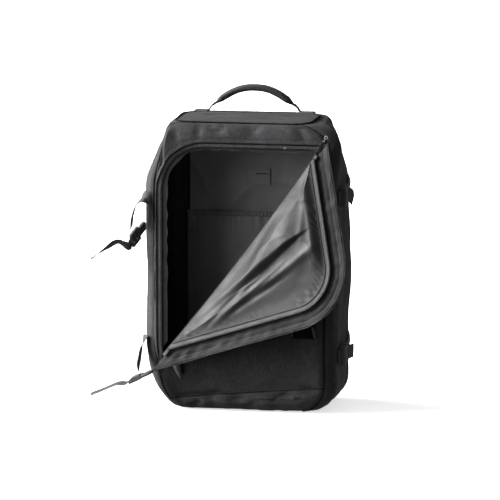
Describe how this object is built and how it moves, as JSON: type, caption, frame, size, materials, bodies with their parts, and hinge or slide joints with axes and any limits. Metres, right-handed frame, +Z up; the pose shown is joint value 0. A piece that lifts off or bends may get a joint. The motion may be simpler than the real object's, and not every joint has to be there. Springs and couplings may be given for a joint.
{
  "type": "travel backpack",
  "caption": "Upright cabin-size travel backpack with its front door unzipped and folded open, side compression straps, top handle and padded shoulder straps.",
  "frame": {"origin": "on the floor, under the middle of the flat base", "axes": "+Z up, the front door faces -Y, +X is on the right seen from the front"},
  "size_m": [0.4754, 0.3574, 0.566],
  "materials": {
    "shell_fabric": "matte woven polyester",
    "lining": "thin satin-coated polyester",
    "webbing": "ribbed flat webbing",
    "buckle_plastic": "moulded acetal, fine texture",
    "zip_plastic": "smooth coil and slider",
    "pull_rubber": "matte moulded",
    "foam": "closed-cell foam",
    "frame_plastic": "plain sheet",
    "back_mesh": "spacer mesh over foam"
  },
  "bodies": {
    "bag": {"back_foam": "foam", "back_pad": "back_mesh", "back_panel": "shell_fabric", "bottom_panel": "shell_fabric", "buckle_female_left_lower": "buckle_plastic", "buckle_female_left_upper": "buckle_plastic", "buckle_female_right_lower": "buckle_plastic", "buckle_female_right_upper": "buckle_plastic", "frame_sheet": "frame_plastic", "front_border": "shell_fabric", "front_panel": "shell_fabric", "front_patch": "webbing", "handle_foot_left": "webbing", "handle_foot_right": "webbing", "inner_pocket": "lining", "lash_tab": "webbing", "lining_back": "lining", "lining_bottom": "lining", "lining_left": "lining", "lining_right": "lining", "lining_top": "lining", "lower_webbing_left": "webbing", "lower_webbing_right": "webbing", "pocket_elastic_hem": "lining", "shoulder_yoke": "shell_fabric", "side_panel_left": "shell_fabric", "side_panel_right": "shell_fabric", "strap_front_right_lower": "webbing", "strap_front_right_upper": "webbing", "strap_rear_left_lower": "webbing", "strap_rear_left_upper": "webbing", "strap_rear_right_lower": "webbing", "strap_rear_right_upper": "webbing", "top_panel": "shell_fabric", "zip_coil_bag": "zip_plastic", "zip_tape_bag": "webbing"},
    "door_flap": {"door_shell": "shell_fabric", "door_lining": "lining", "door_zip_tape": "webbing", "door_zip_coil": "zip_plastic", "door_rim": "shell_fabric"},
    "top_handle": {"handle_sleeve": "webbing"},
    "side_slider": {"slider_side": "zip_plastic"},
    "side_pull": {"pull_side": "pull_rubber"},
    "top_slider": {"slider_top": "zip_plastic"},
    "top_pull": {"pull_top": "pull_rubber"},
    "right_upper_tongue": {"buckle_male_right_upper": "buckle_plastic", "strap_tail_right_upper": "webbing"},
    "right_lower_tongue": {"buckle_male_right_lower": "buckle_plastic", "strap_tail_right_lower": "webbing"},
    "left_upper_strap": {"strap_front_left_upper": "webbing", "buckle_male_left_upper": "buckle_plastic", "strap_tail_left_upper": "webbing"},
    "left_lower_strap": {"strap_front_left_lower": "webbing", "buckle_male_left_lower": "buckle_plastic", "strap_tail_left_lower": "webbing"},
    "harness_left": {"shoulder_strap_left": "back_mesh", "strap_adjuster_left": "buckle_plastic"},
    "harness_right": {"shoulder_strap_right": "back_mesh", "strap_adjuster_right": "buckle_plastic"}
  },
  "joints": [
    {"name": "door_fold", "type": "hinge", "parent": "bag", "child": "door_flap", "pos_m": [0.0015, -0.1065, 0.287], "axis": [-0.6014, 0, -0.799], "range_deg": [0, 153]},
    {"name": "handle_fold", "type": "hinge", "parent": "bag", "child": "top_handle", "pos_m": [0, 0.068, 0.5205], "axis": [1, 0, 0], "range_deg": [-55, 55]},
    {"name": "side_slider_travel", "type": "slide", "parent": "bag", "child": "side_slider", "axis": [0, 0, -1], "range_m": [-0.26, 0]},
    {"name": "side_pull_swing", "type": "hinge", "parent": "side_slider", "child": "side_pull", "pos_m": [-0.137, -0.1068, 0.096], "axis": [1, 0, 0], "range_deg": [-25, 0]},
    {"name": "top_slider_travel", "type": "slide", "parent": "bag", "child": "top_slider", "axis": [1, 0, 0], "range_m": [-0.18, 0]},
    {"name": "top_pull_swing", "type": "hinge", "parent": "top_slider", "child": "top_pull", "pos_m": [0.1435, -0.1068, 0.471], "axis": [-0.866, 0, 0.5], "range_deg": [-80, 0]},
    {"name": "right_upper_release", "type": "slide", "parent": "bag", "child": "right_upper_tongue", "axis": [0, 1, 0], "range_m": [0, 0.028]},
    {"name": "right_lower_release", "type": "slide", "parent": "bag", "child": "right_lower_tongue", "axis": [0, 1, 0], "range_m": [0, 0.028]},
    {"name": "left_upper_swing", "type": "hinge", "parent": "bag", "child": "left_upper_strap", "pos_m": [-0.1608, -0.0953, 0.382], "axis": [0, 0, -1], "range_deg": [-45, 0]},
    {"name": "left_lower_swing", "type": "hinge", "parent": "bag", "child": "left_lower_strap", "pos_m": [-0.1763, -0.0707, 0.132], "axis": [0, 0, -1], "range_deg": [0, 40]},
    {"name": "left_harness_swing", "type": "hinge", "parent": "bag", "child": "harness_left", "pos_m": [-0.062, 0.1133, 0.455], "axis": [1, 0, 0], "range_deg": [0, 35]},
    {"name": "right_harness_swing", "type": "hinge", "parent": "bag", "child": "harness_right", "pos_m": [0.062, 0.1133, 0.455], "axis": [1, 0, 0], "range_deg": [0, 35]}
  ]
}
